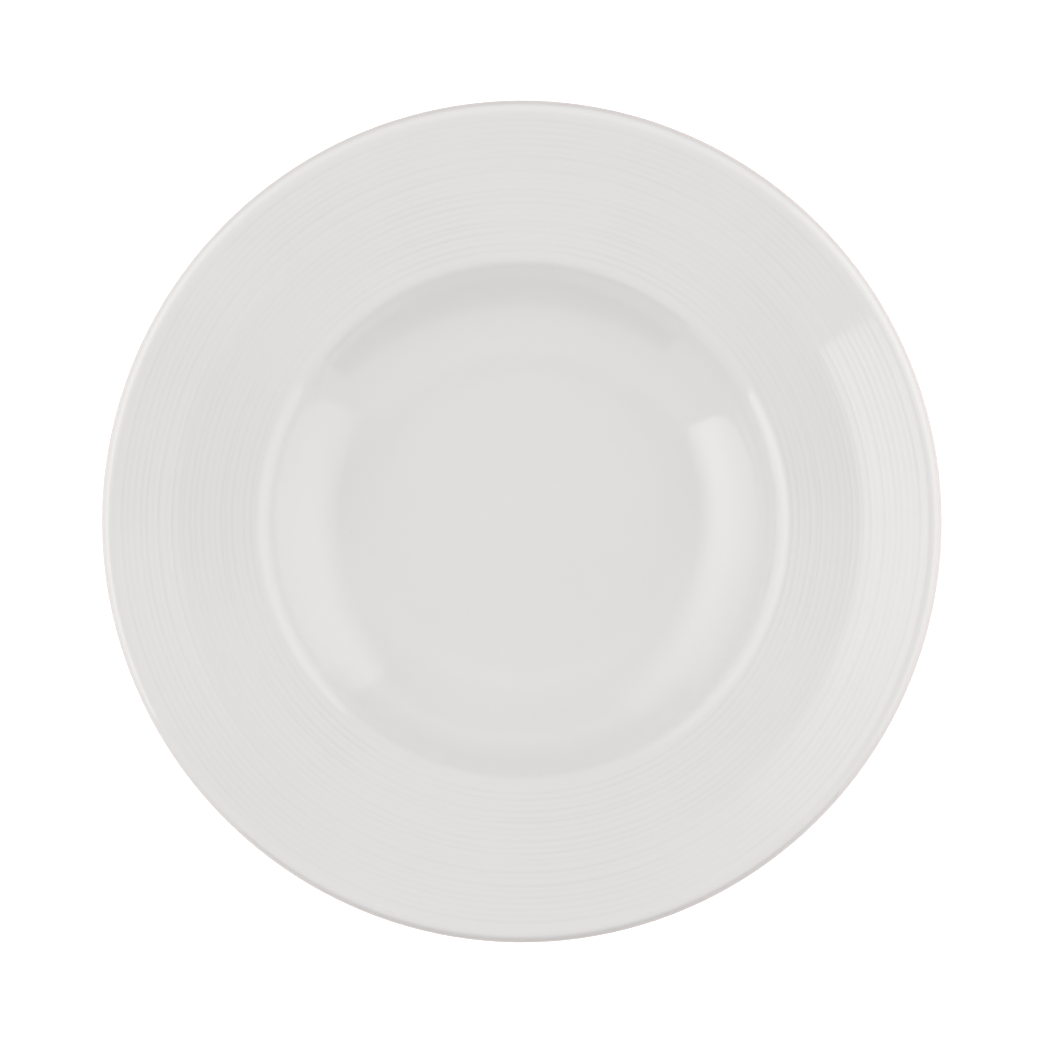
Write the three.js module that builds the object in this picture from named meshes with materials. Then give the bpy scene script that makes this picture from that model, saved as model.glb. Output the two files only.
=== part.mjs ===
// Wide-rimmed deep bowl in glazed porcelain: a turned body, its glaze coat and the glaze inside its foot.
// Millimetres, +Z up. The origin lies on the bowl's axis, in the plane that the foot stands on.
// Every solid is turned from a profile of (radius, height) points, so all of them share the one axis.

import * as THREE from 'three';

// Finished sizes, over the glaze
const RIM_DIAMETER = 285;
const OUTER_RIM_WIDTH = 26;
const INNER_RIM_WIDTH = 24;
const OUTER_RIM_SLOPE = THREE.MathUtils.degToRad(23.5);
const INNER_RIM_SLOPE = THREE.MathUtils.degToRad(14.5);
const SHOULDER_RADIUS = 11;
const WALL_SLOPE = THREE.MathUtils.degToRad(49.5);
const WELL_SWEEP_RADIUS = 48;
const WALL_THICKNESS = 4.4;
const LIP_RADIUS = 3.4;
const LIP_TUCK_RADIUS = 1.8;
const FLOOR_THICKNESS = 4.6;
const FOOT_HEIGHT = 3.4;
const FOOT_WIDTH = 4.6;
const FOOT_OVERHANG = 6.5;

// Turned rings on the rim, with the plain bands that they leave beside the lip and the shoulder
const RING_PITCH = 2.01;
const RING_DEPTH = 0.1;
const LIP_BAND = 1.2;
const SHOULDER_BAND = 0.6;

// Glaze, and the bare band at the foot
const GLAZE_THICKNESS = 0.35;
const GLAZE_CLEARANCE = 0.02;
const BARE_BAND_HEIGHT = 1.2;
const BEARING_CHAMFER = 0.5;

// Facets round the axis, and how far a chord of a profile curve may lie inside its arc
const TURN_FACETS = 44;
const CHORD_SAG = 0.1;

const GLAZED = new THREE.MeshStandardMaterial({ color: 0xebeae7, roughness: 0.08, metalness: 0 });
const BARE = new THREE.MeshStandardMaterial({ color: 0xe6e1d8, roughness: 0.75, metalness: 0 });

const UP = Math.PI / 2;

const point = (radius, height) => new THREE.Vector2(radius, height);

// Direction out of the upper face where it climbs outwards at a slope
const upwardNormal = (slope) => point(-Math.sin(slope), Math.cos(slope));

// Points on a circle from one direction to another, both given as angles from +r towards +z
function arc(centre, radius, from, to) {
  const chordAngle = 2 * Math.acos(1 - CHORD_SAG / radius);
  const steps = Math.ceil(Math.abs(to - from) / chordAngle);
  return Array.from({ length: steps + 1 }, (_, i) => {
    const angle = from + (to - from) * i / steps;
    return point(centre.x + radius * Math.cos(angle), centre.y + radius * Math.sin(angle));
  });
}

// A path moved sideways, to the right of its direction, with mitred corners; a point on the axis stays on it
function offset(path, distance) {
  const right = (a, b) => point(b.y - a.y, a.x - b.x).normalize();
  return path.map((p, i) => {
    const before = right(path[Math.max(i - 1, 0)], path[Math.max(i, 1)]);
    const after = right(path[Math.min(i, path.length - 2)], path[Math.min(i + 1, path.length - 1)]);
    const mitre = before.clone().add(after).multiplyScalar(distance / (1 + before.dot(after)));
    return p.x === 0 ? point(0, p.y + mitre.y) : p.clone().add(mitre);
  });
}

// Radii of the upper face, worked inwards from the lip to the flat floor of the well
const rimRadius = RIM_DIAMETER / 2;
const lipStartRadius = rimRadius - LIP_RADIUS - LIP_RADIUS * Math.sin(OUTER_RIM_SLOPE);
const breakRadius = rimRadius - OUTER_RIM_WIDTH;
const shoulderEndRadius = breakRadius - INNER_RIM_WIDTH;
const wallTopRadius = shoulderEndRadius - SHOULDER_RADIUS * (Math.sin(WALL_SLOPE) - Math.sin(INNER_RIM_SLOPE));
const floorRadius = wallTopRadius - WELL_SWEEP_RADIUS * Math.sin(WALL_SLOPE);
const footRadius = floorRadius + FOOT_OVERHANG;

// Heights and curve centres, worked outwards from the floor
const floorHeight = FOOT_HEIGHT + FLOOR_THICKNESS;
const sweepCentre = point(floorRadius, floorHeight + WELL_SWEEP_RADIUS);
const shoulderCentre = sweepCentre.clone()
  .addScaledVector(upwardNormal(WALL_SLOPE), -WELL_SWEEP_RADIUS - SHOULDER_RADIUS);
const shoulderEndHeight = shoulderCentre.y + SHOULDER_RADIUS * Math.cos(INNER_RIM_SLOPE);
const breakPoint = point(breakRadius, shoulderEndHeight + INNER_RIM_WIDTH * Math.tan(INNER_RIM_SLOPE));

// Height of the rim's upper face: two cones that meet at the break in its slope
function rimHeight(radius) {
  const slope = radius < breakRadius ? INNER_RIM_SLOPE : OUTER_RIM_SLOPE;
  return breakPoint.y + (radius - breakRadius) * Math.tan(slope);
}

// Upper face from the centre of the floor to the inner edge of the rim
function wellFace() {
  return [
    point(0, floorHeight),
    ...arc(sweepCentre, WELL_SWEEP_RADIUS, -UP, WALL_SLOPE - UP),
    ...arc(shoulderCentre, SHOULDER_RADIUS, UP + WALL_SLOPE, UP + INNER_RIM_SLOPE).slice(1),
  ];
}

// Turned rings from the shoulder to the lip, each a trough and then a crest that lies on the rim's cones
function ringedRim() {
  const lastCrest = lipStartRadius - LIP_BAND;
  const count = Math.floor((lastCrest - shoulderEndRadius - SHOULDER_BAND) / RING_PITCH + 1 / 2);
  const rings = Array.from({ length: count }, (_, i) => {
    const crest = lastCrest - (count - 1 - i) * RING_PITCH;
    const trough = crest - RING_PITCH / 2;
    return [point(trough, rimHeight(trough) - RING_DEPTH), point(crest, rimHeight(crest))];
  });
  return rings.flat();
}

// Rolled lip, broad above and tucked in below, and the underside down to the bare band on the outside of the foot
function undersideFace() {
  const lipCentre = point(lipStartRadius, rimHeight(lipStartRadius))
    .addScaledVector(upwardNormal(OUTER_RIM_SLOPE), -LIP_RADIUS);
  const tuckCentre = point(rimRadius - LIP_TUCK_RADIUS, lipCentre.y);
  const tuckDepth = LIP_RADIUS + (LIP_RADIUS - LIP_TUCK_RADIUS) * Math.sin(OUTER_RIM_SLOPE);
  const neck = Math.acos((WALL_THICKNESS - tuckDepth) / LIP_TUCK_RADIUS);
  const halfBend = (OUTER_RIM_SLOPE - INNER_RIM_SLOPE) / 2;
  const bend = breakPoint.clone()
    .addScaledVector(upwardNormal(INNER_RIM_SLOPE + halfBend), -WALL_THICKNESS / Math.cos(halfBend));
  const underSweepRadius = WELL_SWEEP_RADIUS + WALL_THICKNESS;
  const slopeAtFoot = Math.asin(FOOT_OVERHANG / underSweepRadius);
  return [
    ...arc(lipCentre, LIP_RADIUS, UP + OUTER_RIM_SLOPE, 0),
    ...arc(tuckCentre, LIP_TUCK_RADIUS, 0, OUTER_RIM_SLOPE - UP - neck).slice(1),
    bend,
    ...arc(shoulderCentre, SHOULDER_RADIUS - WALL_THICKNESS, UP + INNER_RIM_SLOPE, UP + WALL_SLOPE),
    ...arc(sweepCentre, underSweepRadius, WALL_SLOPE - UP, slopeAtFoot - UP).slice(1),
    point(footRadius, BARE_BAND_HEIGHT),
  ];
}

// Glazed face inside the foot, from the bare band to the axis
function footWellFace() {
  const innerRadius = footRadius - FOOT_WIDTH;
  return [point(innerRadius, BARE_BAND_HEIGHT), point(innerRadius, FOOT_HEIGHT), point(0, FOOT_HEIGHT)];
}

// Bare porcelain between the two glaze edges: the lower sides of the foot and its flat bearing face
function bareFoot(outerRadius, innerRadius) {
  return [
    point(outerRadius, BEARING_CHAMFER),
    point(outerRadius - BEARING_CHAMFER, 0),
    point(innerRadius + BEARING_CHAMFER, 0),
    point(innerRadius, BEARING_CHAMFER),
  ];
}

// A clockwise profile, turned about the axis and stood upright
function turned(name, profile, material) {
  const geometry = new THREE.LatheGeometry(profile.toReversed(), TURN_FACETS);
  geometry.rotateX(UP);
  const mesh = new THREE.Mesh(geometry, material);
  mesh.name = name;
  return mesh;
}

// The skin that the glaze coat lies on is plain under the rings, whose relief is a part of the glaze's depth
const plainSkin = [...wellFace(), breakPoint, ...undersideFace()];

// The fired body: well, wall, shoulder, rim, lip and foot in one piece
function porcelainBody() {
  const skin = offset(plainSkin, GLAZE_THICKNESS + GLAZE_CLEARANCE);
  const footWell = offset(footWellFace(), GLAZE_THICKNESS + GLAZE_CLEARANCE);
  const foot = bareFoot(skin.at(-1).x, footWell[0].x);
  return turned('porcelain_body', [...skin, ...foot, ...footWell], BARE);
}

// The coat over the well, the ringed rim, the lip and the underside, down to the bare band of the foot
function glazeCoat() {
  const outer = [...wellFace(), ...ringedRim(), ...undersideFace()];
  const inner = offset(plainSkin, GLAZE_THICKNESS);
  return turned('glaze_coat', [...outer, ...inner.toReversed()], GLAZED);
}

// The separate coat inside the foot ring, which the bare bearing face parts from the rest
function footWellGlaze() {
  const outer = footWellFace();
  const inner = offset(outer, GLAZE_THICKNESS);
  return turned('foot_well_glaze', [...inner.toReversed(), ...outer], GLAZED);
}

const bowl = new THREE.Group();
bowl.name = 'deep_bowl';
bowl.add(porcelainBody(), glazeCoat(), footWellGlaze());

export default bowl;
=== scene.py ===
"""Looks of the wide-rimmed deep bowl: ringed white glaze over a turned porcelain body with a bare foot.

Metres, +Z up. The origin lies on the bowl's axis, in the plane that the foot stands on. Each piece is a
closed surface of revolution: a profile of (radius, height) points, carried round the axis on a grid.
"""

import logging
import math
from dataclasses import dataclass, field
from enum import Enum
from typing import ClassVar

import bpy
import numpy as np
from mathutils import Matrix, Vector
from numpy.typing import NDArray


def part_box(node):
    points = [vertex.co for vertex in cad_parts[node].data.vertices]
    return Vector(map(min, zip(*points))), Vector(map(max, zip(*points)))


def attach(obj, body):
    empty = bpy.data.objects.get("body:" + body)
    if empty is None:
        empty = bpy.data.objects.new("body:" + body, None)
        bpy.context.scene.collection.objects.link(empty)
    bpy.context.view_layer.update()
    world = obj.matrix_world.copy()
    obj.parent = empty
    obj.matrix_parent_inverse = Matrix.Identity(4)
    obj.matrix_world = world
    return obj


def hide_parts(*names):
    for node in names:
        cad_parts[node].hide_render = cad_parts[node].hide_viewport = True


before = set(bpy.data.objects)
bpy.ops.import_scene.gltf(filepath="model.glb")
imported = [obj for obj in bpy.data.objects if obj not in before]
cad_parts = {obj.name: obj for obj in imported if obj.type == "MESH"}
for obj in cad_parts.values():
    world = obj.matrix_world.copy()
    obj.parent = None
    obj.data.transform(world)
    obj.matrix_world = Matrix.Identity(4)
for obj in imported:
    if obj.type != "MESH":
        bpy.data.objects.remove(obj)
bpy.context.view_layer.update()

Points = NDArray[np.float64]
Colour = tuple[float, float, float]
Place = tuple[float, float, float]
Span = tuple[float, float]
Node = bpy.types.Node
Socket = bpy.types.NodeSocket
Value = Socket | float
NodeOwner = bpy.types.Material | bpy.types.Light | bpy.types.World

BODY = "root"
UP = math.pi / 2
GROOVE_TONE_SHARE = "groove_tone_share"
THIN = "thin_glaze"
LIP_HIGHLIGHT = "painted_lip_highlight"
SAME_POINT = 1e-8

# Sockets of the mix node for its share and two colours, and the one for their mix
MIX_INPUTS = (0, 6, 7)
MIX_RESULT = 2

log = logging.getLogger("deep_bowl")


class Piece(Enum):
    """The pieces of the bowl, each with the name of the solid that it stands for."""

    PORCELAIN = "porcelain_body"
    COAT = "glaze_coat"
    FOOT_WELL = "foot_well_glaze"


class Slot(Enum):
    """The material slots that the pieces take their finish from."""

    BARE = "bare_porcelain"
    GLAZE = "white_glaze"


class Output(Enum):
    """Blender's kinds of output at the end of a node tree."""

    MATERIAL = "OutputMaterial"
    LAMP = "OutputLight"
    WORLD = "OutputWorld"


class Seen(Enum):
    """How a card in the studio shows: to every ray, or to all but the camera's own."""

    BY_ALL = "by all"
    IN_LIGHT_ONLY = "in light only"


@dataclass(frozen=True)
class Fineness:
    """Steps on each stretch of the profiles, which set how fine the meshes are."""

    floor: int = 14
    sweep: int = 44
    shoulder: int = 22
    lip: int = 26
    tuck: int = 14
    neck: int = 6
    under_rim: int = 22
    under_shoulder: int = 16
    under_sweep: int = 36
    fillet: int = 8
    foot_side: int = 3
    foot_well: int = 12
    edge: int = 6


STEPS = Fineness()


def arc(centre: Points, radius: float, start: float, stop: float, steps: int) -> Points:
    """Points on a circle: the centre plus the radius times (cos a, sin a), a running from start to stop.

    The angles turn from outwards towards up.
    """
    angle = np.linspace(start, stop, steps + 1)
    return centre + radius * np.column_stack((np.cos(angle), np.sin(angle)))


def straight(start: Points, stop: Points, steps: int) -> Points:
    """Points on a line: start plus a share of the way to stop, the share running evenly from 0 to 1."""
    share = np.linspace(0.0, 1.0, steps + 1)[:, None]
    return start + share * (stop - start)


def joined(*stretches: Points) -> Points:
    """Stretches of a profile in one row, without the points that repeat the one before.

    Args:
        stretches: Points of each stretch, in the order of travel.

    Returns:
        The points of the whole path.
    """
    path = np.vstack(stretches)
    step = np.linalg.norm(np.diff(path, axis=0), axis=1)
    return path[np.concatenate(([True], step > SAME_POINT))]


def left_normals(path: Points) -> Points:
    """Unit normals of a path, to the left of its travel, which is out of the material on these profiles.

    Formula: the direction from the point before to the point after, turned a quarter turn to the left.

    Args:
        path: Points of the path.

    Returns:
        One normal for each point.
    """
    ahead = np.gradient(path, axis=0)
    turned = np.column_stack((-ahead[:, 1], ahead[:, 0]))
    return turned / np.linalg.norm(turned, axis=1, keepdims=True)


def inset(path: Points, depth: float) -> Points:
    """A path moved into the material by a depth along its normals; a point on the axis stays on it.

    Args:
        path: Points of the path.
        depth: Distance to move.

    Returns:
        The moved points.
    """
    moved = path - depth * left_normals(path)
    moved[path[:, 0] == 0.0, 0] = 0.0
    return moved


def smooth_step(low: float, high: float, value: Points) -> Points:
    """Share that rises from 0 at low to 1 at high: 3 s squared less 2 s cubed, s being the clipped share."""
    share = np.clip((value - low) / (high - low), 0.0, 1.0)
    return share * share * (3.0 - 2.0 * share)


@dataclass(frozen=True)
class BowlForm:
    """Finished sizes of the bowl over its glaze, and the profiles that follow from them.

    The rim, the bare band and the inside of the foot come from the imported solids. The rest are driving sizes.
    """

    rim_radius: float
    foot_well_radius: float
    bare_band: float
    foot_height: float
    outer_rim_width: float = 0.026
    inner_rim_width: float = 0.024
    outer_slope: float = math.radians(23.5)
    inner_slope: float = math.radians(14.5)
    break_softness: float = 0.0011
    shoulder_radius: float = 0.011
    wall_slope: float = math.radians(49.5)
    sweep_radius: float = 0.048
    wall: float = 0.0044
    lip_radius: float = 0.0034
    lip_tuck: float = 0.0018
    floor_thickness: float = 0.0046
    foot_overhang: float = 0.0065
    neck_fillet: float = 0.003
    foot_fillet: float = 0.002
    foot_well_fillet: float = 0.0015
    bearing_edge: float = 0.0006
    glaze: float = 0.00035
    clearance: float = 0.00002
    warp: float = 0.00012
    warp_phases: Span = (0.6, 2.1)

    @classmethod
    def from_frame(cls) -> "BowlForm":
        """The form whose rim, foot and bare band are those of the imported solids.

        Returns:
            The bowl's form.
        """
        well_low, well_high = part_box(Piece.FOOT_WELL.value)
        return cls(
            rim_radius=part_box(Piece.COAT.value)[1].x,
            foot_well_radius=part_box(Piece.FOOT_WELL.value)[1].x - cls.glaze,
            bare_band=well_low.z,
            foot_height=well_high.z - cls.glaze,
        )

    @property
    def lip_start(self) -> float:
        """Radius where the rim's upper face runs into the lip's roll."""
        return self.rim_radius - self.lip_radius * (1 + math.sin(self.outer_slope))

    @property
    def break_radius(self) -> float:
        """Radius where the rim's slope changes."""
        return self.rim_radius - self.outer_rim_width

    @property
    def shoulder_end(self) -> float:
        """Radius where the shoulder's curve runs into the rim."""
        return self.break_radius - self.inner_rim_width

    @property
    def floor_radius(self) -> float:
        """Radius of the well's flat floor."""
        shoulder_width = self.shoulder_radius * (math.sin(self.wall_slope) - math.sin(self.inner_slope))
        return self.shoulder_end - shoulder_width - self.sweep_radius * math.sin(self.wall_slope)

    @property
    def foot_radius(self) -> float:
        """Outer radius of the foot ring."""
        return self.floor_radius + self.foot_overhang

    @property
    def floor_height(self) -> float:
        """Height of the well's floor."""
        return self.foot_height + self.floor_thickness

    @property
    def sweep_centre(self) -> Points:
        """Centre of the curve from the floor up the wall."""
        return np.array((self.floor_radius, self.floor_height + self.sweep_radius))

    @property
    def shoulder_centre(self) -> Points:
        """Centre of the shoulder's curve, in line with the sweep's centre across the top of the wall."""
        normal = np.array((-math.sin(self.wall_slope), math.cos(self.wall_slope)))
        return self.sweep_centre - (self.sweep_radius + self.shoulder_radius) * normal

    def rim_height(self, radius: Points) -> Points:
        """Height of the rim's plain upper face.

        Formula: a line at the inner slope through the break, plus the difference of the two slopes times a
        soft ramp, w log(1 + exp(x / w)), where x is the distance past the break and w its softness.

        Args:
            radius: Radii on the rim.

        Returns:
            The heights.
        """
        shoulder_top = self.shoulder_centre[1] + self.shoulder_radius * math.cos(self.inner_slope)
        break_height = shoulder_top + self.inner_rim_width * math.tan(self.inner_slope)
        past = radius - self.break_radius
        ramp = self.break_softness * np.logaddexp(0.0, past / self.break_softness)
        bend = math.tan(self.outer_slope) - math.tan(self.inner_slope)
        return break_height + math.tan(self.inner_slope) * past + bend * ramp

    def sweep(self, slope: float, steps: int) -> Points:
        """Curve from where it has a slope up to the top of the wall."""
        return arc(self.sweep_centre, self.sweep_radius, slope - UP, self.wall_slope - UP, steps)

    def shoulder(self, steps: int) -> Points:
        """Curve from the top of the wall over the shoulder to the rim."""
        start, stop = UP + self.wall_slope, UP + self.inner_slope
        return arc(self.shoulder_centre, self.shoulder_radius, start, stop, steps)

    def well_face(self) -> Points:
        """Upper face from the axis over the flat floor, up the sweep and round the shoulder.

        Returns:
            The points, from the axis outwards.
        """
        floor_edge = np.array((self.floor_radius, self.floor_height))
        centre = np.array((0.0, self.floor_height))
        floor = straight(centre, floor_edge, STEPS.floor)
        return joined(floor, self.sweep(0.0, STEPS.sweep), self.shoulder(STEPS.shoulder))

    def rim_face(self, stop: float, steps: int) -> Points:
        """Plain upper face of the rim, from the shoulder outwards to a radius, in even steps of radius."""
        radius = np.linspace(self.shoulder_end, stop, steps + 1)
        return np.column_stack((radius, self.rim_height(radius)))

    def lip_and_neck(self) -> Points:
        """Rolled lip, its tuck below the outermost edge, and the fillet that leads into the underside.

        Formula: three arcs that touch. The tuck's centre lies level with the lip's, so that both end at the
        outermost edge. The fillet's centre lies a wall and a fillet radius below the upper face, and a tuck
        radius plus a fillet radius from the tuck's centre.

        Returns:
            The points, from the top of the lip round to the underside.
        """
        along = np.array((math.cos(self.outer_slope), math.sin(self.outer_slope)))
        normal = np.array((-along[1], along[0]))
        top = np.array((self.lip_start, self.rim_height(np.array(self.lip_start))))
        centre = top - self.lip_radius * normal
        tuck_centre = centre + np.array((self.lip_radius - self.lip_tuck, 0.0))
        drop = self.wall + self.neck_fillet - np.dot(top - tuck_centre, normal)
        reach = self.lip_tuck + self.neck_fillet
        back = math.sqrt(reach**2 - drop**2)
        fillet_centre = tuck_centre - drop * normal - back * along
        touch = self.outer_slope + math.atan2(drop, back)
        return joined(
            arc(centre, self.lip_radius, UP + self.outer_slope, 0.0, STEPS.lip),
            arc(tuck_centre, self.lip_tuck, 0.0, touch - math.pi, STEPS.tuck),
            arc(fillet_centre, self.neck_fillet, touch, UP + self.outer_slope, STEPS.neck),
        )

    def underside(self) -> Points:
        """Underside from the lip's neck to the foot: the plain upper face, moved in by the wall's thickness.

        Returns:
            The points, from the neck inwards to the fillet above the foot.
        """
        neck = self.lip_and_neck()[-1]
        neck_above = neck[0] - self.wall * math.sin(self.outer_slope)
        above = joined(
            self.sweep(self.foot_slope, STEPS.under_sweep),
            self.shoulder(STEPS.under_shoulder),
            self.rim_face(neck_above, STEPS.under_rim),
        )
        return inset(above, self.wall)[::-1]

    @property
    def fillet_reach(self) -> float:
        """Distance of the foot fillet's centre from the sweep's centre."""
        return self.sweep_radius + self.wall + self.foot_fillet

    @property
    def foot_slope(self) -> float:
        """Slope of the underside where the foot's fillet touches it."""
        return math.asin((self.foot_overhang + self.foot_fillet) / self.fillet_reach)

    def foot_side(self, stop: float) -> Points:
        """Fillet under the bowl, and the outer side of the foot down to a height.

        Args:
            stop: Height where it ends.

        Returns:
            The points, from the fillet downwards.
        """
        downwards = np.array((math.sin(self.foot_slope), -math.cos(self.foot_slope)))
        centre = self.sweep_centre + self.fillet_reach * downwards
        top = np.array((self.foot_radius, centre[1]))
        return joined(
            arc(centre, self.foot_fillet, UP + self.foot_slope, math.pi, STEPS.fillet),
            straight(top, np.array((self.foot_radius, stop)), STEPS.foot_side),
        )

    def skin(self, rim_steps: int, foot_stop: float) -> Points:
        """Whole plain skin, from the middle of the floor over the rim and the lip to the side of the foot.

        Args:
            rim_steps: Steps across the rim's upper face.
            foot_stop: Height where it ends on the foot.

        Returns:
            The points, with the material on the right of their travel.
        """
        return joined(
            self.well_face(),
            self.rim_face(self.lip_start, rim_steps),
            self.lip_and_neck(),
            self.underside(),
            self.foot_side(foot_stop),
        )

    def foot_well(self, depth: float, edge: float) -> Points:
        """Face inside the foot ring, at a depth in the material, from the axis outwards and down its side.

        Args:
            depth: Depth below the finished face.
            edge: Height where it ends on the foot.

        Returns:
            The points, from the axis outwards.
        """
        radius = self.foot_well_radius + depth
        height = self.foot_height + depth
        fillet = self.foot_well_fillet + depth
        corner = np.array((radius - fillet, height - fillet))
        return joined(
            straight(np.array((0.0, height)), np.array((corner[0], height)), STEPS.foot_well),
            arc(corner, fillet, UP, 0.0, STEPS.fillet),
            straight(np.array((radius, corner[1])), np.array((radius, edge)), STEPS.foot_side),
        )

    def fired(self, radius: Points, turn: Points) -> Points:
        """Lift of the rim from the slight twist that it takes in firing; the foot stays flat.

        Formula: the warp times a share that grows from the foot to the lip, times a two-lobed wave of the
        turn plus half of a three-lobed one.

        Args:
            radius: Radii of the grid.
            turn: Angles round the axis.

        Returns:
            The lift of each point.
        """
        share = smooth_step(self.foot_radius, self.rim_radius, radius)
        two_lobed = np.cos(2 * turn + self.warp_phases[0])
        three_lobed = np.cos(3 * turn + self.warp_phases[1])
        return self.warp * share * (two_lobed + 0.5 * three_lobed)


@dataclass(frozen=True)
class RingRelief:
    """Rings turned into the rim: grooves at an uneven pitch, each with a depth of its own, and lands between.

    The unevenness comes from one seeded draw, so that each run gives the same rings. A wave of the hand is
    given as its strength, its lobes round the rim and its twist in radians from ring to ring.
    """

    inner_radius: float
    outer_radius: float
    pitch: float = 0.00201
    depth: float = 0.00003
    groove_width: float = 0.00052
    groove_tone_width: float = 0.00046
    wander: float = 0.11
    unevenness: float = 0.45
    hand_waves: tuple[tuple[float, int, float], ...] = ((0.12, 2, 1.7), (0.08, 5, -2.3))
    seed: int = 12

    def grooves(self) -> tuple[Points, Points]:
        """Radius and share of the full depth of each groove.

        Returns:
            The radii, and the shares.
        """
        draw = np.random.default_rng(self.seed)
        count = round((self.outer_radius - self.inner_radius) / self.pitch) + 1
        even = np.linspace(self.inner_radius, self.outer_radius, count)
        radius = even + self.wander * self.pitch * draw.standard_normal(count)
        share = 1.0 + self.unevenness * draw.uniform(-1.0, 1.0, count)
        return radius, share

    def profile(self, radius: Points, width: float) -> Points:
        """Sum over the grooves of a bell curve: share times exp(-((radius - groove) / width) squared)."""
        place, share = self.grooves()
        return (share * np.exp(-(((radius[:, None] - place) / width) ** 2))).sum(axis=1)

    def lift(self, radius: Points, turn: Points) -> Points:
        """Depth of the relief below the plain rim, as a lift that is negative in the grooves.

        Formula: minus the depth times the grooves' bells, times 1 plus the waves of the hand, each its
        strength times the sine of lobes times turn plus twist times radius over pitch.

        Args:
            radius: Radii of the profile.
            turn: Angles round the axis.

        Returns:
            The lift, one row for each radius and one column for each turn.
        """
        bells = self.profile(radius, self.groove_width)[:, None]
        phase = (radius / self.pitch)[:, None]
        hand = 1.0
        for strength, lobes, twist in self.hand_waves:
            hand = hand + strength * np.sin(lobes * turn + twist * phase)
        return -self.depth * bells * hand


def linked(name: str, data: bpy.types.ID) -> bpy.types.Object:
    """A new object of a mesh, a lamp or a camera, linked into the scene.

    Args:
        name: The object's name.
        data: The mesh, lamp or camera.

    Returns:
        The object, at the origin.
    """
    thing = bpy.data.objects.new(name, data)
    bpy.context.scene.collection.objects.link(thing)
    return thing


@dataclass(frozen=True)
class Clouds:
    """Cloudy noise: its waves to a metre, its number of finer octaves and the span of its values in use."""

    waves: float
    octaves: float
    span: Span = (0.3, 0.7)


@dataclass
class TurnedSurface:
    """A closed profile that starts and ends on the axis, carried round it on a grid."""

    name: str
    profile: Points
    form: BowlForm
    turns: int
    relief: RingRelief | None = None
    relief_rows: slice | None = None
    shares: dict[str, Points] = field(default_factory=dict)

    def vertices(self) -> Points:
        """Points of the surface: the first pole, the grid row by row, and the last pole.

        Formula: (r cos t, r sin t, z), where (r, z) is the profile, moved along its normals by the relief,
        and z is lifted by the twist of the firing.

        Returns:
            The points, one row each.
        """
        turn = np.linspace(0.0, 2 * math.pi, self.turns, endpoint=False)[None, :]
        normal = left_normals(self.profile)
        lift = np.zeros((len(self.profile), self.turns))
        if self.relief is not None:
            lift[self.relief_rows] = self.relief.lift(self.profile[self.relief_rows, 0], turn)
        radius = self.profile[:, :1] + lift * normal[:, :1]
        height = self.profile[:, 1:] + lift * normal[:, 1:] + self.form.fired(radius, turn)
        grid = np.stack((radius * np.cos(turn), radius * np.sin(turn), height), axis=-1)
        poles = np.column_stack((np.zeros((2, 2)), self.profile[[0, -1], 1]))
        return np.vstack((poles[:1], grid[1:-1].reshape(-1, 3), poles[1:]))

    def faces(self) -> tuple[NDArray[np.int32], NDArray[np.int32]]:
        """Corners of all faces in one row, and where each face starts: a fan, the grid's quads and a fan.

        Returns:
            The corners' vertices, and the starts.
        """
        rows = len(self.profile) - 2
        ring = np.arange(self.turns)
        after = (ring + 1) % self.turns
        last = rows * self.turns + 1
        first_fan = np.column_stack((np.zeros(self.turns, int), ring + 1, after + 1))
        row = 1 + self.turns * np.arange(rows - 1)[:, None]
        near, far = row + ring, row + after
        quads = np.stack((near, near + self.turns, far + self.turns, far), axis=-1)
        end = last - self.turns
        last_fan = np.column_stack((end + ring, np.full(self.turns, last), end + after))
        corners = np.concatenate((first_fan.ravel(), quads.ravel(), last_fan.ravel()))
        sizes = np.repeat((3, 4, 3), (self.turns, self.turns * (rows - 1), self.turns))
        starts = np.concatenate(([0], np.cumsum(sizes)[:-1]))
        return corners.astype(np.int32), starts.astype(np.int32)

    def build(self) -> bpy.types.Object:
        """Put the surface into a smooth mesh, with its shares as attributes, and link its object.

        Returns:
            The object, at the origin.
        """
        points = self.vertices()
        corners, starts = self.faces()
        mesh = bpy.data.meshes.new(self.name)
        mesh.vertices.add(len(points))
        mesh.vertices.foreach_set("co", points.ravel())
        mesh.loops.add(len(corners))
        mesh.loops.foreach_set("vertex_index", corners)
        mesh.polygons.add(len(starts))
        mesh.polygons.foreach_set("loop_start", starts)
        mesh.polygons.foreach_set("use_smooth", np.ones(len(starts), bool))
        mesh.update(calc_edges=True)
        for name, share in self.shares.items():
            grid = np.repeat(share[1:-1], self.turns)
            values = np.concatenate((share[:1], grid, share[-1:])).astype(np.float32)
            mesh.attributes.new(name, "FLOAT", "POINT").data.foreach_set("value", values)
        return linked(self.name, mesh)


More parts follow.
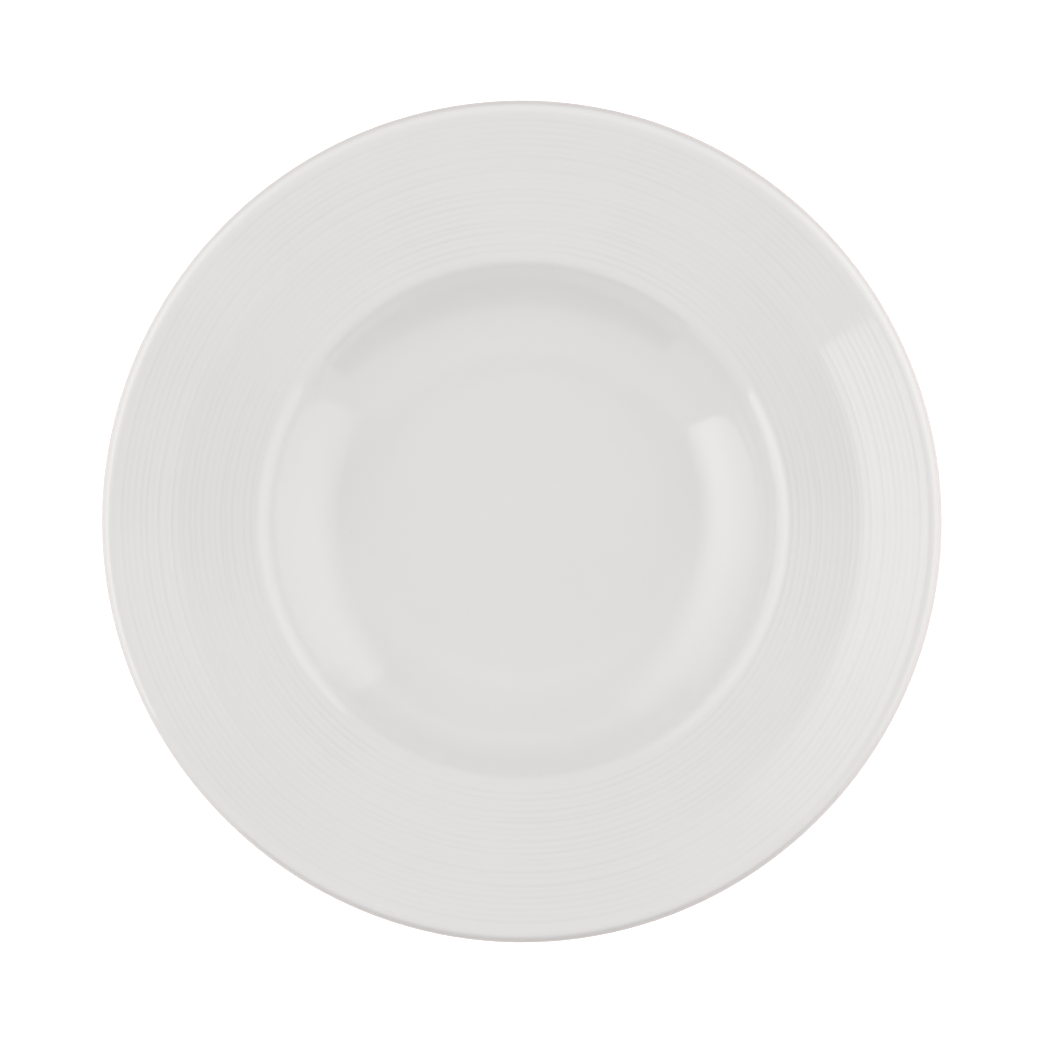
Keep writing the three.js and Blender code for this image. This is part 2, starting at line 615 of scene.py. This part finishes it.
class NodeGraph:
    """The node tree of a material, a lamp or the world, with one method for each kind of step in it."""

    def __init__(self, owner: NodeOwner, output: Output) -> None:
        """Start an empty tree with an output.

        Args:
            owner: The material, lamp or world.
            output: Its kind of output.
        """
        owner.use_nodes = True
        self.owner = owner
        self.tree = owner.node_tree
        self.tree.nodes.clear()
        self.output = self.add(output.value)

    @classmethod
    def of_material(cls, name: str) -> "NodeGraph":
        """The empty tree of a new material."""
        return cls(bpy.data.materials.new(name), Output.MATERIAL)

    def add(self, kind: str, **settings: object) -> Node:
        """Add a node and set its own settings.

        Args:
            kind: Blender's name of the node's type, after ShaderNode.
            settings: Values of the node's properties.

        Returns:
            The node.
        """
        node = self.tree.nodes.new("ShaderNode" + kind)
        for key, value in settings.items():
            setattr(node, key, value)
        return node

    def put(self, socket: Socket, value: object) -> None:
        """Link an input from a socket, or set it to a plain value.

        Args:
            socket: The input.
            value: A socket, a number or a colour.
        """
        if isinstance(value, Socket):
            self.tree.links.new(value, socket)
        elif isinstance(value, tuple) and socket.type == "RGBA":
            socket.default_value = (*value, 1.0)
        else:
            socket.default_value = value

    def feed(self, node: Node, **inputs: object) -> Node:
        """Put a node's inputs by name; an underscore in a name stands for a space.

        Args:
            node: The node.
            inputs: A socket to link from, or a value to set, for each input.

        Returns:
            The node.
        """
        for key, value in inputs.items():
            self.put(node.inputs[key.replace("_", " ")], value)
        return node

    def fill(self, node: Node, *values: Value) -> Node:
        """Put a node's inputs in their order.

        Args:
            node: The node.
            values: A socket to link from, or a value to set, for each input.

        Returns:
            The node.
        """
        for socket, value in zip(node.inputs, values):
            self.put(socket, value)
        return node

    def worked(self, operation: str, *values: Value) -> Socket:
        """Result of one step of arithmetic, by Blender's name of it, on the values in their order."""
        return self.fill(self.add("Math", operation=operation), *values).outputs[0]

    def ranged(self, value: Value, span: Span, ends: Span = (0.0, 1.0)) -> Socket:
        """A value carried smoothly from one span to another and held at its ends.

        Args:
            value: The value.
            span: Start and end of its own span.
            ends: What those two become.

        Returns:
            The carried value.
        """
        node = self.add("MapRange", interpolation_type="SMOOTHSTEP")
        self.feed(node, Value=value, From_Min=span[0], From_Max=span[1], To_Min=ends[0], To_Max=ends[1])
        return node.outputs["Result"]

    def place(self) -> Socket:
        """The point's place on the object."""
        return self.add("TexCoord").outputs["Object"]

    def place_along(self, axis: str) -> Socket:
        """The point's place along one axis of the object."""
        return self.feed(self.add("SeparateXYZ"), Vector=self.place()).outputs[axis]

    def share(self, name: str) -> Socket:
        """The share that an attribute of the mesh holds."""
        return self.add("Attribute", attribute_name=name).outputs["Fac"]

    def noise(self, clouds: Clouds) -> Socket:
        """Cloudy noise of the place, from 0 to 1."""
        node = self.add("TexNoise")
        return self.feed(node, Vector=self.place(), Scale=clouds.waves, Detail=clouds.octaves).outputs["Fac"]

    def clouded(self, clouds: Clouds, ends: Span = (0.0, 1.0)) -> Socket:
        """A value that cloudy noise carries between two ends."""
        return self.ranged(self.noise(clouds), clouds.span, ends)

    def tinted(self, share: Value, base: Socket | Colour, over: Colour) -> Socket:
        """A colour that goes from a base to another by a share.

        Args:
            share: The share of the other colour.
            base: Base colour.
            over: The other colour.

        Returns:
            The mixed colour.
        """
        node = self.add("Mix", data_type="RGBA")
        for index, value in zip(MIX_INPUTS, (share, base, over)):
            self.put(node.inputs[index], value)
        return node.outputs[MIX_RESULT]

    def specks(self, cell: float, radius: float, kept: float) -> Socket:
        """Share of small round specks, at one random point in some of the cells of a lattice.

        Args:
            cell: Size of a cell.
            radius: Radius of a speck.
            kept: Share of the cells that have one.

        Returns:
            1 inside a speck and 0 outside.
        """
        node = self.add("TexVoronoi")
        self.feed(node, Vector=self.place(), Scale=1.0 / cell)
        spot = self.ranged(node.outputs["Distance"], (0.5 * radius / cell, radius / cell), (1.0, 0.0))
        pick = self.feed(self.add("SeparateColor"), Color=node.outputs["Color"])
        chosen = self.ranged(pick.outputs["Red"], (kept - 0.01, kept), (1.0, 0.0))
        return self.worked("MULTIPLY", spot, chosen)

    def bumped(self, height: Value, depth: float, **under: object) -> Socket:
        """Normal of a surface that a height from 0 to 1 raises by a depth, over another bump's Normal."""
        node = self.feed(self.add("Bump"), Height=height, Distance=depth, Strength=1.0, **under)
        return node.outputs["Normal"]

    def seen(self, mirrored: float = 1.0) -> Socket:
        """Share of the background that a ray shows: all for camera rays, and a share for mirrored ones.

        Args:
            mirrored: Share for glossy and transmission rays.

        Returns:
            The share.
        """
        path = self.add("LightPath").outputs
        shiny = self.worked("MAXIMUM", path["Is Glossy Ray"], path["Is Transmission Ray"])
        return self.worked("MULTIPLY_ADD", shiny, mirrored, path["Is Camera Ray"])

    def mixed(self, share: Value, first: Node, second: Node) -> Node:
        """A shader that goes from the first to the second by a share."""
        return self.fill(self.add("MixShader"), share, first.outputs[0], second.outputs[0])

    def end(self, shader: Node) -> NodeOwner:
        """Lead the last shader to the output, and give back the tree's owner."""
        self.tree.links.new(shader.outputs[0], self.output.inputs["Surface"])
        return self.owner


@dataclass(frozen=True)
class WhiteGlaze:
    """Clear, glossy glaze over white porcelain, greyer in the rings and warmer where it runs thin.

    Its lip's crest is painted whiter towards the back (+Y), a painted highlight.
    """

    tone: Colour = (0.815, 0.803, 0.793)
    cool_tone: Colour = (0.809, 0.798, 0.789)
    groove_tone: Colour = (0.70, 0.695, 0.68)
    thin_tone: Colour = (0.825, 0.71, 0.69)
    # Painted highlight: the whiter tone of the lip's crest on its back (+Y) side
    lip_highlight_tone: Colour = (0.885, 0.876, 0.868)
    lip_highlight_side: Span = (-0.02, 0.11)
    speck_tone: Colour = (0.40, 0.37, 0.34)
    ring_hand: Span = (0.35, 1.65)
    gloss: Span = (0.03, 0.055)
    refraction: float = 1.5
    ripple: float = 0.000012
    peel: float = 0.0000008
    speck_cell: float = 0.016
    speck_radius: float = 0.00022
    speck_share: float = 0.3
    tone_clouds: Clouds = Clouds(28.0, 4.0, (0.35, 0.65))
    ring_clouds: Clouds = Clouds(24.0, 3.0)
    gloss_clouds: Clouds = Clouds(55.0, 3.0)
    ripple_clouds: Clouds = Clouds(26.0, 1.0)
    peel_clouds: Clouds = Clouds(420.0, 2.0)

    def material(self) -> bpy.types.Material:
        """Work out the glaze's nodes.

        Returns:
            The material.
        """
        graph = NodeGraph.of_material("white_glaze")
        colour = graph.tinted(graph.clouded(self.tone_clouds), self.tone, self.cool_tone)
        hand = graph.clouded(self.ring_clouds, self.ring_hand)
        in_grooves = graph.worked("MULTIPLY", graph.share(GROOVE_TONE_SHARE), hand)
        colour = graph.tinted(in_grooves, colour, self.groove_tone)
        # Painted highlight: the lip's crest is painted whiter towards the back (+Y)
        lip_highlight = graph.ranged(graph.place_along("Y"), self.lip_highlight_side)
        lip_highlight = graph.worked("MULTIPLY", lip_highlight, graph.share(LIP_HIGHLIGHT))
        colour = graph.tinted(lip_highlight, colour, self.lip_highlight_tone)
        colour = graph.tinted(graph.share(THIN), colour, self.thin_tone)
        specks = graph.specks(self.speck_cell, self.speck_radius, self.speck_share)
        colour = graph.tinted(specks, colour, self.speck_tone)
        roughness = graph.clouded(self.gloss_clouds, self.gloss)
        normal = graph.bumped(graph.noise(self.ripple_clouds), self.ripple)
        normal = graph.bumped(graph.noise(self.peel_clouds), self.peel, Normal=normal)
        shader = graph.add("BsdfPrincipled")
        graph.feed(shader, Base_Color=colour, Roughness=roughness, IOR=self.refraction, Normal=normal)
        return graph.end(shader)


@dataclass(frozen=True)
class BarePorcelain:
    """Fired porcelain without glaze: matt, slightly warm and finely grained, greyed where the foot rubs."""

    tone: Colour = (0.76, 0.72, 0.655)
    dark_tone: Colour = (0.68, 0.635, 0.57)
    rubbed_tone: Colour = (0.44, 0.42, 0.40)
    roughness: Span = (0.6, 0.78)
    refraction: float = 1.5
    grain: float = 0.00002
    rubbed_height: float = 0.00012
    rubbed_share: float = 0.7
    tone_clouds: Clouds = Clouds(90.0, 5.0, (0.35, 0.7))
    rub_clouds: Clouds = Clouds(260.0, 6.0, (0.45, 0.75))
    rough_clouds: Clouds = Clouds(150.0, 3.0)
    grain_clouds: Clouds = Clouds(2600.0, 3.0)

    def material(self) -> bpy.types.Material:
        """Work out the porcelain's nodes.

        Returns:
            The material.
        """
        graph = NodeGraph.of_material("bare_porcelain")
        colour = graph.tinted(graph.clouded(self.tone_clouds), self.tone, self.dark_tone)
        low = graph.ranged(graph.place_along("Z"), (0.0, self.rubbed_height), (1.0, 0.0))
        marks = graph.clouded(self.rub_clouds, (0.0, self.rubbed_share))
        colour = graph.tinted(graph.worked("MULTIPLY", low, marks), colour, self.rubbed_tone)
        roughness = graph.clouded(self.rough_clouds, self.roughness)
        normal = graph.bumped(graph.noise(self.grain_clouds), self.grain)
        shader = graph.add("BsdfPrincipled")
        graph.feed(shader, Base_Color=colour, Roughness=roughness, IOR=self.refraction, Normal=normal)
        return graph.end(shader)


@dataclass
class TurnedPiece:
    """What the bowl's pieces share: the form that they follow, and how they are dressed."""

    form: BowlForm
    node: ClassVar[Piece]
    slot: ClassVar[Slot]

    def dress(self, piece: bpy.types.Object, finish: bpy.types.Material) -> None:
        """Give a piece its finish, let it ride on the body and stand for its solid.

        Args:
            piece: The object.
            finish: Its material.
        """
        piece.data.materials.append(finish)
        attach(piece, BODY)
        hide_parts(self.node.value)


@dataclass
class PorcelainBody(TurnedPiece):
    """The fired body: well, wall, rim, lip and foot in one piece, bare only round the foot's bearing face."""

    node = Piece.PORCELAIN
    slot = Slot.BARE
    turns: int = 220
    rim_steps: int = 40

    def bearing_foot(self, outer: float, inner: float) -> Points:
        """Bare foot between the two glaze edges: two rounded edges and the flat face that it stands on.

        Args:
            outer: Radius of its outer side.
            inner: Radius of its inner side.

        Returns:
            The points, from the outer side to the inner one.
        """
        edge = self.form.bearing_edge
        return joined(
            arc(np.array((outer - edge, edge)), edge, 0.0, -UP, STEPS.edge),
            arc(np.array((inner + edge, edge)), edge, -UP, -math.pi, STEPS.edge),
        )

    def build(self) -> bpy.types.Object:
        """Turn the body from its skin, its foot and the inside of its foot.

        Returns:
            The object.
        """
        depth = self.form.glaze + self.form.clearance
        skin = inset(self.form.skin(self.rim_steps, self.form.bare_band), depth)
        well = self.form.foot_well(depth, self.form.bare_band)[::-1]
        foot = self.bearing_foot(skin[-1, 0], well[0, 0])
        name = self.node.value + "_turned"
        return TurnedSurface(name, joined(skin, foot, well), self.form, self.turns).build()


@dataclass
class GlazeCoat(TurnedPiece):
    """The coat over the well, the ringed rim, the lip and the underside, down to the foot's bare band."""

    node = Piece.COAT
    slot = Slot.GLAZE
    turns: int = 168
    rim_steps: int = 220
    back_rim_steps: int = 80
    lip_band: float = 0.0022
    shoulder_band: float = 0.0008
    groove_tone_scale: float = 0.155
    groove_tone_limit: float = 1.6
    thin_share: float = 0.75
    thin_band: Span = (0.0015, 0.0001)
    crest_place: float = 0.8
    crest_width: float = 0.0014

    def rings(self) -> RingRelief:
        """The rings between the plain bands beside the shoulder and the lip."""
        return RingRelief(self.form.shoulder_end + self.shoulder_band, self.form.lip_start - self.lip_band)

    def in_grooves(self, outer: Points, rim: slice) -> Points:
        """Share of the greyer tone on the outer face: in the grooves of the rim.

        Args:
            outer: Points of the outer face.
            rim: Rows of the rim.

        Returns:
            The share at each point.
        """
        share = np.zeros(len(outer))
        rings = self.rings()
        depth = np.clip(rings.profile(outer[rim, 0], rings.groove_tone_width), 0.0, self.groove_tone_limit)
        share[rim] = self.groove_tone_scale * depth
        return share

    def thin(self, outer: Points) -> Points:
        """Share of thin glaze at each point of the outer face: a smooth rise to the edge of the lip."""
        start, full = (self.form.rim_radius - distance for distance in self.thin_band)
        return self.thin_share * smooth_step(start, full, outer[:, 0])

    def lip_highlight(self, outer: Points) -> Points:
        """Share of the painted highlight round the lip's crest: exp(-d squared), d being the distance over a
        width.
        """
        crest = self.form.rim_radius - self.crest_place * self.form.lip_radius
        return np.exp(-(((outer[:, 0] - crest) / self.crest_width) ** 2))

    def build(self) -> bpy.types.Object:
        """Turn the coat from its outer face, the rolled edge at the foot and the back that lies on the body.

        The back is hidden, so every other row of it is enough.

        Returns:
            The object.
        """
        roll = self.form.glaze / 2
        edge_height = self.form.bare_band + roll
        outer = self.form.skin(self.rim_steps, edge_height)
        back = inset(self.form.skin(self.back_rim_steps, edge_height), self.form.glaze)[::-1]
        edge_centre = np.array((self.form.foot_radius - roll, edge_height))
        edge = arc(edge_centre, roll, 0.0, -math.pi, STEPS.edge)
        profile = joined(outer, edge, back[:-1:2], back[-1:])
        first = int(np.argmax(outer[:, 0] > self.form.shoulder_end))
        rim = slice(first, first + self.rim_steps - 1)
        on_face = {GROOVE_TONE_SHARE: self.in_grooves(outer, rim), THIN: self.thin(outer), LIP_HIGHLIGHT: self.lip_highlight(outer)}
        hidden = (0, len(profile) - len(outer))
        shares = {name: np.pad(share, hidden) for name, share in on_face.items()}
        name = self.node.value + "_ringed"
        return TurnedSurface(name, profile, self.form, self.turns, self.rings(), rim, shares).build()


@dataclass
class FootWellGlaze(TurnedPiece):
    """The separate coat inside the foot ring, which the bare bearing face parts from the rest."""

    node = Piece.FOOT_WELL
    slot = Slot.GLAZE
    turns: int = 180

    def build(self) -> bpy.types.Object:
        """Turn the coat from the back that lies on the body, its rolled edge and its open face.

        Returns:
            The object.
        """
        roll = self.form.glaze / 2
        edge_height = self.form.bare_band + roll
        back = self.form.foot_well(self.form.glaze, edge_height)
        face = self.form.foot_well(0.0, edge_height)[::-1]
        edge_centre = np.array((self.form.foot_well_radius + roll, edge_height))
        edge = arc(edge_centre, roll, 0.0, -math.pi, STEPS.edge)
        name = self.node.value + "_turned"
        return TurnedSurface(name, joined(back, edge, face), self.form, self.turns).build()


@dataclass(frozen=True)
class Softbox:
    """A lamp behind a cloth front with rounded corners, brightest at its core and dimmer towards its edges.

    The front stands at a bearing, between a lower and an upper edge that are given as (distance, height).
    """

    name: str
    bearing: float
    lower: Span
    upper: Span
    core_level: float
    core: Span
    core_size: Span
    edge_level: float = 0.0
    width: float = 1.36
    squareness: float = 5.0
    rim_fade: Span = (0.88, 1.0)

    def level(self, graph: NodeGraph) -> Socket:
        """Radiance over the front.

        Formula: x and y run from -1 to 1 across and up the front. The level is the edge's, plus the rise to
        the core's times exp(-d squared), where d is the distance from the core over the core's size. It
        ends where |x| to the power n plus |y| to the power n passes 1, n being the squareness.

        Args:
            graph: The lamp's tree.

        Returns:
            The level.
        """
        parts = graph.add("SeparateXYZ")
        graph.feed(parts, Vector=graph.add("NewGeometry").outputs["Parametric"])
        outline = []
        away = []
        for axis in range(2):
            along = graph.worked("MULTIPLY_ADD", parts.outputs[axis], 2.0, -1.0)
            outline.append(graph.worked("POWER", graph.worked("ABSOLUTE", along), self.squareness))
            offset = graph.worked("SUBTRACT", along, self.core[axis])
            square = graph.worked("MULTIPLY", offset, offset)
            away.append(graph.worked("DIVIDE", square, -self.core_size[axis] ** 2))
        glow = graph.worked("EXPONENT", graph.worked("ADD", *away))
        rise = graph.worked("MULTIPLY_ADD", glow, self.core_level - self.edge_level, self.edge_level)
        inside = graph.ranged(graph.worked("ADD", *outline), self.rim_fade, (1.0, 0.0))
        return graph.worked("MULTIPLY", inside, rise)

    def build(self) -> bpy.types.Object:
        """Make the lamp and turn its front towards the axis.

        Formula: a power of pi times the area gives the front a radiance of 1, which the level multiplies.

        Returns:
            The lamp's object.
        """
        low, high = np.array(self.lower), np.array(self.upper)
        middle = (low + high) / 2
        across, up = high - low
        length = math.hypot(across, up)
        facing = np.array((-up, across)) / length
        out = np.array((math.cos(self.bearing), math.sin(self.bearing)))
        lamp = bpy.data.lights.new(self.name, "AREA")
        lamp.shape = "RECTANGLE"
        lamp.size = self.width
        lamp.size_y = length
        lamp.energy = math.pi * self.width * length
        graph = NodeGraph(lamp, Output.LAMP)
        graph.end(graph.feed(graph.add("Emission"), Strength=self.level(graph)))
        piece = linked(self.name, lamp)
        piece.location = (*(middle[0] * out), middle[1])
        direction = Vector((*(facing[0] * out), facing[1]))
        piece.rotation_euler = direction.to_track_quat("-Z", "Y").to_euler()
        piece.visible_camera = False
        return piece


@dataclass(frozen=True)
class StageCard:
    """A flat card of the studio, in the box from low to high, which is no part of the bowl."""

    seen: ClassVar[Seen] = Seen.BY_ALL
    name: str
    low: Place
    high: Place

    def corners(self) -> tuple[Place, ...]:
        """Corners of a level card, where the box has no height, or of an upright one.

        Returns:
            The four corners in order.
        """
        (x0, y0, z0), (x1, y1, z1) = self.low, self.high
        if z0 == z1:
            return (x0, y0, z0), (x1, y0, z0), (x1, y1, z0), (x0, y1, z0)
        return (x0, y0, z0), (x1, y1, z0), (x1, y1, z1), (x0, y0, z1)

    def build(self, material: bpy.types.Material) -> bpy.types.Object:
        """Make the card and set whether the camera sees it.

        Args:
            material: Its material.

        Returns:
            The card's object.
        """
        mesh = bpy.data.meshes.new(self.name)
        mesh.from_pydata(self.corners(), [], [(0, 1, 2, 3)])
        mesh.materials.append(material)
        card = linked(self.name, mesh)
        card.visible_camera = self.seen is Seen.BY_ALL
        return card


@dataclass(frozen=True)
class Cloth(StageCard):
    """A dark cloth of the studio, which the camera doesn't see, and the fades towards its edges.

    Each fade is an axis, the place on it where the cloth ends and the place where it is at its full share.
    """

    seen = Seen.IN_LIGHT_ONLY
    share: float
    fades: tuple[tuple[str, float, float], ...]


@dataclass
class Studio:
    """Pale floor, soft light and the camera above the bowl."""

    form: BowlForm
    picture_width: int = 1044
    outline_width: int = 842
    view_distance: float = 0.9
    view_tilt: float = math.radians(4.2)
    sensor: float = 36.0
    floor_size: float = 6.0
    floor_drop: float = 0.0002
    paper: Colour = (0.62, 0.61, 0.60)
    floor_glow: float = 0.72
    mirrored_glow: float = 0.9
    fill: float = 0.848
    cloth_tone: Colour = (0.09, 0.085, 0.07)

    def camera(self) -> bpy.types.Object:
        """Place the camera above the lip's plane, leaning towards +X, with the outline in mid-frame.

        Formula: the lens is the sensor times the distance over the width that the frame takes in. The near
        side of a leaning circle looks larger, which moves its outline by the radius squared times
        sin(tilt) over the distance, so the aim moves by as much.

        Returns:
            The camera's object.
        """
        lean = np.array((math.sin(self.view_tilt), 0.0, math.cos(self.view_tilt)))
        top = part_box(Piece.COAT.value)[1].z
        shift = self.form.rim_radius**2 * math.sin(self.view_tilt) / self.view_distance
        aim = np.array((shift, 0.0, top - self.form.lip_radius))
        data = bpy.data.cameras.new("camera")
        data.sensor_width = self.sensor
        frame_width = 2 * self.form.rim_radius * self.picture_width / self.outline_width
        data.lens = self.sensor * self.view_distance / frame_width
        camera = linked("camera", data)
        camera.location = aim + self.view_distance * lean
        camera.rotation_euler = (0.0, self.view_tilt, 0.0)
        bpy.context.scene.camera = camera
        return camera

    def floor_material(self) -> bpy.types.Material:
        """Paper with a glow added where it is seen, which makes it white and keeps the bowl's shadow.

        A mirrored ray sees a little less of the glow.

        Returns:
            The material.
        """
        graph = NodeGraph.of_material("pale_floor")
        paper = graph.feed(graph.add("BsdfDiffuse"), Color=self.paper)
        glow = graph.feed(graph.add("Emission"), Strength=self.floor_glow)
        shown = graph.fill(graph.add("AddShader"), paper.outputs[0], glow.outputs[0])
        return graph.end(graph.mixed(graph.seen(self.mirrored_glow), paper, shown))

    def cloth_material(self, cloth: Cloth) -> bpy.types.Material:
        """Dark cloth that keeps light off one side and thins out to nothing at its edges.

        Formula: the share of cloth is its full share times, for each fade, a smooth rise from 0 where the
        cloth ends to 1 where it is at its full share.

        Args:
            cloth: The cloth.

        Returns:
            The material.
        """
        graph = NodeGraph.of_material(cloth.name)
        dark = graph.feed(graph.add("BsdfDiffuse"), Color=self.cloth_tone)
        share = cloth.share
        for axis, outer, inner in cloth.fades:
            fade = graph.ranged(graph.place_along(axis), (outer, inner))
            share = graph.worked("MULTIPLY", fade, share)
        return graph.end(graph.mixed(share, graph.add("BsdfTransparent"), dark))

    def world(self) -> None:
        """White surroundings where they are seen, and a dimmer even fill as light."""
        graph = NodeGraph(bpy.data.worlds.new("studio"), Output.WORLD)
        level = graph.worked("MULTIPLY_ADD", graph.seen(), 1.0 - self.fill, self.fill)
        white = graph.feed(graph.add("Background"), Color=(1.0, 1.0, 1.0), Strength=level)
        bpy.context.scene.world = graph.end(white)

    def cloths(self) -> tuple[Cloth, ...]:
        """The dark cloths in front of the bowl, behind it and overhead.

        Returns:
            Their descriptions.
        """
        side_fades = (("X", -1.6, -0.7), ("X", 1.6, 0.7))
        near_fades = (("Y", -0.75, -0.15), ("Y", 0.45, -0.15), *side_fades)
        far_fades = (("Y", -0.05, 0.60), ("Y", 2.6, 1.7), *side_fades)
        return (
            Cloth("front_cloth", (-0.56, -0.58, 0.0), (0.64, -0.58, 0.55), 0.89, (("Z", 0.55, 0.32),)),
            Cloth("back_cloth", (-0.9, 0.78, 0.0), (0.9, 0.78, 0.8), 0.58, (("Z", 0.8, 0.1),)),
            Cloth("overhead_cloth", (-1.6, -0.75, 1.7), (1.6, 0.45, 1.7), 0.75, near_fades),
            Cloth("far_overhead_cloth", (-1.6, -0.05, 1.71), (1.6, 2.6, 1.71), 0.70, far_fades),
        )

    def lamps(self) -> tuple[Softbox, ...]:
        """The softboxes on both sides of the bowl.

        Returns:
            Their descriptions.
        """
        return (
            Softbox(
                name="left_softbox",
                bearing=math.radians(164.5),
                lower=(0.75, 0.16),
                upper=(0.75, 1.72),
                core_level=2.18,
                core=(0.75, -0.16),
                core_size=(1.2, 0.76),
            ),
            Softbox(
                name="right_softbox",
                bearing=math.radians(8),
                lower=(0.78, 0.06),
                upper=(0.66, 1.34),
                edge_level=0.26,
                core_level=1.26,
                core=(0.0, -0.15),
                core_size=(1.5, 0.75),
            ),
        )

    def build(self) -> None:
        """Set up the floor, the cloths, the lamps, the world and the camera."""
        half = self.floor_size / 2
        low = -self.floor_drop
        StageCard("floor", (-half, -half, low), (half, half, low)).build(self.floor_material())
        for cloth in self.cloths():
            cloth.build(self.cloth_material(cloth))
        for lamp in self.lamps():
            lamp.build()
        self.world()
        self.camera()
        bpy.context.scene.view_settings.view_transform = "Standard"


def main() -> None:
    """Build the bowl's pieces in order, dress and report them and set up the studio."""
    logging.basicConfig(level=logging.INFO, format="%(name)s: %(message)s")
    form = BowlForm.from_frame()
    glaze = WhiteGlaze().material()
    bare = BarePorcelain().material()
    for part, finish in ((PorcelainBody(form), bare), (GlazeCoat(form), glaze), (FootWellGlaze(form), glaze)):
        piece = part.build()
        part.dress(piece, finish)
        piece.data.calc_loop_triangles()
        log.info("%s: %d triangles", piece.name, len(piece.data.loop_triangles))
    Studio(form).build()


if __name__ == "__main__":
    main()
